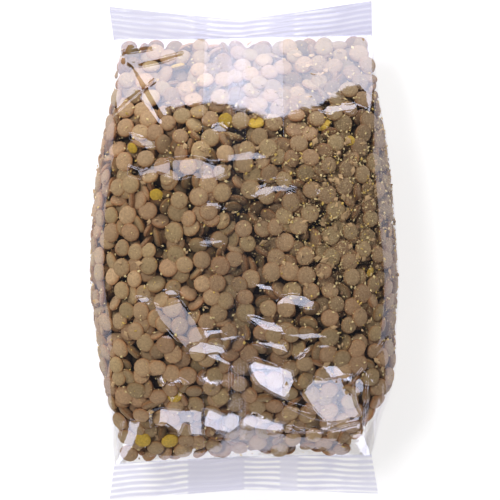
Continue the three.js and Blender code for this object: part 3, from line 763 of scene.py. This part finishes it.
# Creases in the film: both ends of a line, its half width, and how steeply it tips the film.
FOLDS = [
    (-39.0, 64.0, -28.6, 46.1, 1.1, 0.75), (-32.0, 58.2, -44.8, 46.8, 0.45, 0.8),
    (51.1, -28.1, 37.6, -44.0, 0.6, 0.8), (42.1, -41.2, 48.0, -48.1, 0.5, -0.8),
    (48.0, -48.1, 48.3, -53.3, 0.5, -0.8), (42.5, -43.0, 42.1, -61.9, 0.5, 0.8),
    (15.9, -60.9, 28.0, -62.6, 0.5, 0.6), (28.0, -62.6, 38.3, -60.2, 0.5, 0.6),
    (-41.4, -48.1, -42.1, -60.2, 0.5, -0.8), (-42.1, -60.2, -45.2, -71.6, 0.5, -0.8),
]
EYE = np.array(camera.location) / MM
BASE_STAND, LEAST_STAND, MOST_STAND = 0.45, -0.45, 2.0
FLAT_SINK, FLAT_LIFT = 0.9, 1.0  # a flat place is lifted by up to 1 mm, so as to dip no further


def share_inside(x, y, corners, soft=0.28):
    """1 well inside an outline, 0 well outside it, with a soft edge."""
    nearest, crossings = np.full(x.shape, 1e9), np.zeros(x.shape, int)
    for (x0, y0), (x1, y1) in zip(corners, np.roll(corners, -1, axis=0)):
        run, climb = x1 - x0, y1 - y0
        along = np.clip(((x - x0) * run + (y - y0) * climb) / (run**2 + climb**2), 0, 1)
        nearest = np.minimum(nearest, np.hypot(x - x0 - along * run, y - y0 - along * climb))
        crossings += ((y0 > y) != (y1 > y)) & (x < x0 + (y - y0) * run / (climb + 1e-12))
    t = np.clip(0.5 + np.where(crossings % 2 == 1, nearest, -nearest) / (2 * soft), 0, 1)
    return t * t * (3 - 2 * t)


def flat_to(light, corners):
    """The plane over some corners that mirrors a light to the camera: centre and slopes."""
    corners = np.array(corners, float)
    level = upper_face((corners[:, 1] - BOTTOM_LINE_Y) / LINE_LENGTH, corners[:, 0])
    centre = level.mean(axis=0)
    facing = [(v - centre) / np.linalg.norm(v - centre) for v in (EYE, np.array(light) / MM)]
    half_way = facing[0] + facing[1]
    slope = -half_way[:2] / half_way[2]
    x, y = np.meshgrid(*np.linspace(corners.min(axis=0), corners.max(axis=0), 14).T)
    under = upper_face((y - BOTTOM_LINE_Y) / LINE_LENGTH, x)[..., 2]
    gap = centre[2] + slope[0] * (x - centre[0]) + slope[1] * (y - centre[1]) - under
    inside = share_inside(x, y, corners) > 0.5
    if inside.any():
        centre[2] += np.clip(-FLAT_SINK - gap[inside].min(), 0, FLAT_LIFT)
    return corners, centre, slope


FLAT_PLANES = [flat_to(light, corners) for light, corners in FLATS]


def film_stand(points, outward):
    """How far the slack film stands off the lentils on the upper face, in millimetres."""
    x, y, z = np.moveaxis(points, -1, 0)
    stand = BASE_STAND + waves(x, y, 3, 30) * 0.16 + waves(x, y, 4, 12) * 0.035
    for corners, centre, slope in FLAT_PLANES:
        share = share_inside(x, y, corners)
        gap = centre[2] + slope[0] * (x - centre[0]) + slope[1] * (y - centre[1]) - z
        rise = outward[..., 2] - slope[0] * outward[..., 0] - slope[1] * outward[..., 1]
        stand = stand + share * (0.5 + gap / np.maximum(rise, 0.3) - stand)
    for x0, y0, x1, y1, wide, steep in FOLDS:
        length = math.hypot(x1 - x0, y1 - y0)
        ux, uy = (x1 - x0) / length, (y1 - y0) / length
        past = np.clip(np.abs((x - x0) * ux + (y - y0) * uy - length / 2) - length / 2, 0, None)
        off = (y - y0) * ux - (x - x0) * uy
        stand = stand + steep * off * np.exp(-((off / wide) ** 2) - (past / 1.5) ** 2)
    return np.clip(stand, LEAST_STAND, MOST_STAND)


on_top = np.clip(skin_outward[..., 2] * 2, 0, 1)
ripple = film_stand(skin_points, skin_outward) * on_top
ripple = np.where(skin_points[..., 2] < 1.0, 0, ripple)
skin_points = skin_points + skin_outward * ripple[..., None]
skin_points[..., 2] = np.maximum(skin_points[..., 2], 0.0)
skin_columns = skin_angle.shape[1]
skin_faces = [
    (r * skin_columns + c, (r + 1) * skin_columns + c,
     (r + 1) * skin_columns + (c + 1) % skin_columns, r * skin_columns + (c + 1) % skin_columns)
    for r in range(SKIN_ROWS - 1) for c in range(skin_columns)
]
film_skin = new_mesh_piece("film_skin", skin_points.reshape(-1, 3) * MM, skin_faces, clear_film)
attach(film_skin, "root")
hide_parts("film_seals")

# The two end seals: both layers of film welded flat between hot ribbed jaws, which turns them
# white. The ribs run across the bag, and each seal is bent where the side gussets end.
# The bright white on the rib crests is painted glint: there the film lets the bright floor through
# untinted, more so on some of the bent parts.
SEALS = {
    "top_seal": dict(
        inner=TOP_INNER, outer=[85.7, 83.8, 82.2, 85.0, 88.0],
        left=(-46.0, -47.4), right=(45.2, 45.0), lift=[3.5, -2.6, -10.4, -4.0, 1.0],
        # place across, and how white the film is there between the ribs and on them, where the white is
        # painted glint
        white_and_glint=[
            (-47, 0.23, 0.54), (-18, 0.26, 0.5), (-17, 0.20, 0.24), (-13.5, 0.22, 0.3),
            (-12, 0.15, 0.85), (8, 0.15, 0.85), (11, 0.20, 0.24), (17, 0.20, 0.24),
            (18.5, 0.10, 0.85), (26, 0.08, 0.6), (45, 0.1, 0.35),
        ],
    ),
    "bottom_seal": dict(
        inner=BOTTOM_INNER, outer=[-88.0, -86.3, -84.6, -85.0, -85.6],
        left=(-45.8, -47.4), right=(45.0, 47.3), lift=[1.5, -0.8, -2.5, 0.6, 2.0],
        white_and_glint=[
            (-47, 0.40, 1.1), (-20.2, 0.36, 1.1), (-19.4, 0.38, 0.46), (-0.2, 0.38, 0.5),
            (0.4, 0.33, 1.3), (12.4, 0.33, 1.3), (13.0, 0.48, 0.62), (18.6, 0.48, 0.68),
            (19.4, 0.30, 1.4), (31, 0.33, 1.3), (47, 0.48, 0.95),
        ],
    ),
}
RIB_PITCH, RIB_HEIGHT, SEAL_HALF = 1.93, 0.12, 0.12
SEAL_ROWS, SEAL_COLUMNS = 110, 190
welded_film = film_finish("welded_film", (0.825, 0.82, 0.905), 0.035, 0.03, 0.12, dents=0.00003)
weld_nodes, weld_links = welded_film.node_tree.nodes, welded_film.node_tree.links
# Painted glint: the whiter a point, the clearer the weld, so the rib crests show the bright floor as white.
weld_white_and_glint = weld_nodes.new("ShaderNodeVertexColor")
weld_white_and_glint.layer_name = "white_and_glint"
weld_tone = weld_nodes.new("ShaderNodeMix")
weld_tone.data_type = "RGBA"
weld_tone.inputs[6].default_value = (0.76, 0.755, 0.86, 1)
weld_tone.inputs[7].default_value = (1, 1, 1, 1)
weld_links.new(weld_white_and_glint.outputs["Color"], weld_tone.inputs["Factor"])
clearest = next(node for node in weld_nodes if node.type == "BSDF_TRANSPARENT")
weld_links.new(weld_tone.outputs[2], clearest.inputs["Color"])


def seal_face(seal, level):
    """The upper (1) or lower (-1) face of a seal: its points, and how white each is, with painted glint on
    the rib crests.
    """
    out, across = np.meshgrid(
        np.linspace(0, 1, SEAL_ROWS), np.linspace(0, 1, SEAL_COLUMNS), indexing="ij"
    )
    start = np.interp(across, FIFTHS, seal["inner"])
    stop = np.interp(across, FIFTHS, seal["outer"])
    y = start + (stop - start) * out
    left = seal["left"][0] + (seal["left"][1] - seal["left"][0]) * out
    right = seal["right"][0] + (seal["right"][1] - seal["right"][0]) * out
    x = left + (right - left) * across
    fade = np.clip(out * 12, 0, 1) * np.clip((1 - out) * 10, 0, 1)
    wobble = waves(x, y, 9, 22) * 0.35
    crest = 0.5 + 0.5 * np.sin(2 * np.pi * (np.abs(y - stop) + wobble) / RIB_PITCH)
    rib = RIB_HEIGHT * (2 * crest - 1) * fade
    z = SEAL_LEVEL + np.interp(across, FIFTHS, seal["lift"]) * out**1.4 + rib + level * SEAL_HALF
    z = z + waves(x, y, 8, 34) * 0.35 * out
    places, between, on_rib = np.array(seal["white_and_glint"]).T
    low, high = np.interp(x, places, between), np.interp(x, places, on_rib)
    return np.stack([x, y, z], -1), low + (high - low) * crest**1.5 * (0.8 + 0.25 * waves(x, y, 12, 9))


def sheet_piece(name, upper, lower, material):
    """A closed sheet of film between two grids of points, in millimetres."""
    rows, columns = upper.shape[:2]
    points = np.concatenate([upper.reshape(-1, 3), lower.reshape(-1, 3)])
    up = np.arange(rows * columns).reshape(rows, columns)
    down = up + rows * columns
    faces = []
    for r in range(rows - 1):
        for c in range(columns - 1):
            faces.append((up[r, c], up[r, c + 1], up[r + 1, c + 1], up[r + 1, c]))
            faces.append((down[r, c], down[r + 1, c], down[r + 1, c + 1], down[r, c + 1]))
    edge = [(r, 0) for r in range(rows)] + [(rows - 1, c) for c in range(1, columns)]
    edge += [(r, columns - 1) for r in range(rows - 2, -1, -1)]
    edge += [(0, c) for c in range(columns - 2, 0, -1)]
    for (r, c), (r2, c2) in zip(edge, edge[1:] + edge[:1]):
        faces.append((up[r, c], up[r2, c2], down[r2, c2], down[r, c]))
    piece = new_mesh_piece(name, points * MM, [tuple(int(v) for v in f) for f in faces], material)
    bpy.ops.object.select_all(action="DESELECT")
    piece.select_set(True)
    bpy.context.view_layer.objects.active = piece
    bpy.ops.object.mode_set(mode="EDIT")
    bpy.ops.mesh.select_all(action="SELECT")
    bpy.ops.mesh.normals_make_consistent(inside=False)
    bpy.ops.object.mode_set(mode="OBJECT")
    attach(piece, "root")
    return piece


for seal_name, seal in SEALS.items():
    (upper, white_and_glint), (lower, _) = seal_face(seal, 1), seal_face(seal, -1)
    weld = sheet_piece(seal_name, upper, lower, welded_film)
    # The whiteness, with its painted glint on the rib crests, is kept as a colour layer.
    white_and_glint_share = np.clip(np.concatenate([white_and_glint.ravel(), white_and_glint.ravel()]), 0, 1)
    white_and_glint_colours = np.stack([white_and_glint_share, white_and_glint_share, white_and_glint_share, white_and_glint_share * 0 + 1], -1)
    white_and_glint_layer = weld.data.color_attributes.new("white_and_glint", "FLOAT_COLOR", "POINT")
    white_and_glint_layer.data.foreach_set("color", white_and_glint_colours.astype(np.float32).ravel())

# The lap of the back seam: along the middle of the upper face one edge of the film lies over
# the other, as a second clear layer a little way off the first.
LAP_LEFT, LAP_RIGHT, LAP_ROWS, LAP_COLUMNS = -14.1, 13.6, 400, 76
LAP_LIFT, LAP_THICKNESS = 0.35, 0.05


def seam_strip(left, right, rows, columns, lift_at):
    """A strip along the slack upper face: its points, lifted off the film, and its normals."""
    along, x = np.meshgrid(np.linspace(0, 1, rows), np.linspace(left, right, columns), indexing="ij")
    points = upper_face(along, x)
    outward = -form_normals(points)
    return points + outward * (film_stand(points, outward) + lift_at(x))[..., None], outward


lap_points, lap_out = seam_strip(LAP_LEFT, LAP_RIGHT, LAP_ROWS, LAP_COLUMNS, lambda x: LAP_LIFT)
lap_film = film_finish("lap_film", (0.998, 0.998, 0.998), 0.030, 0.0, 0.06)
sheet_piece("film_lap", lap_points + lap_out * LAP_THICKNESS, lap_points, lap_film)

# The welded band of the back seam: where both layers of the lap are joined by a hot ribbed
# wheel. Its ribs run along the bag.
BAND_LEFT, BAND_RIGHT, BAND_ROWS, BAND_COLUMNS = -5.5, 0.7, 360, 49
BAND_LIFT, BAND_THICKNESS, BAND_RIB_HEIGHT, BAND_RIB_PITCH = 0.6, 0.08, 0.06, 1.03


def band_lift(x):
    return BAND_LIFT + BAND_RIB_HEIGHT * np.cos(2 * np.pi * (x - BAND_LEFT) / BAND_RIB_PITCH)


band_points, band_out = seam_strip(BAND_LEFT, BAND_RIGHT, BAND_ROWS, BAND_COLUMNS, band_lift)
welded_band = film_finish("welded_band", (0.998, 0.998, 0.998), 0.030, 0.002, 0.10)
sheet_piece("seam_band", band_points + band_out * BAND_THICKNESS, band_points, welded_band)
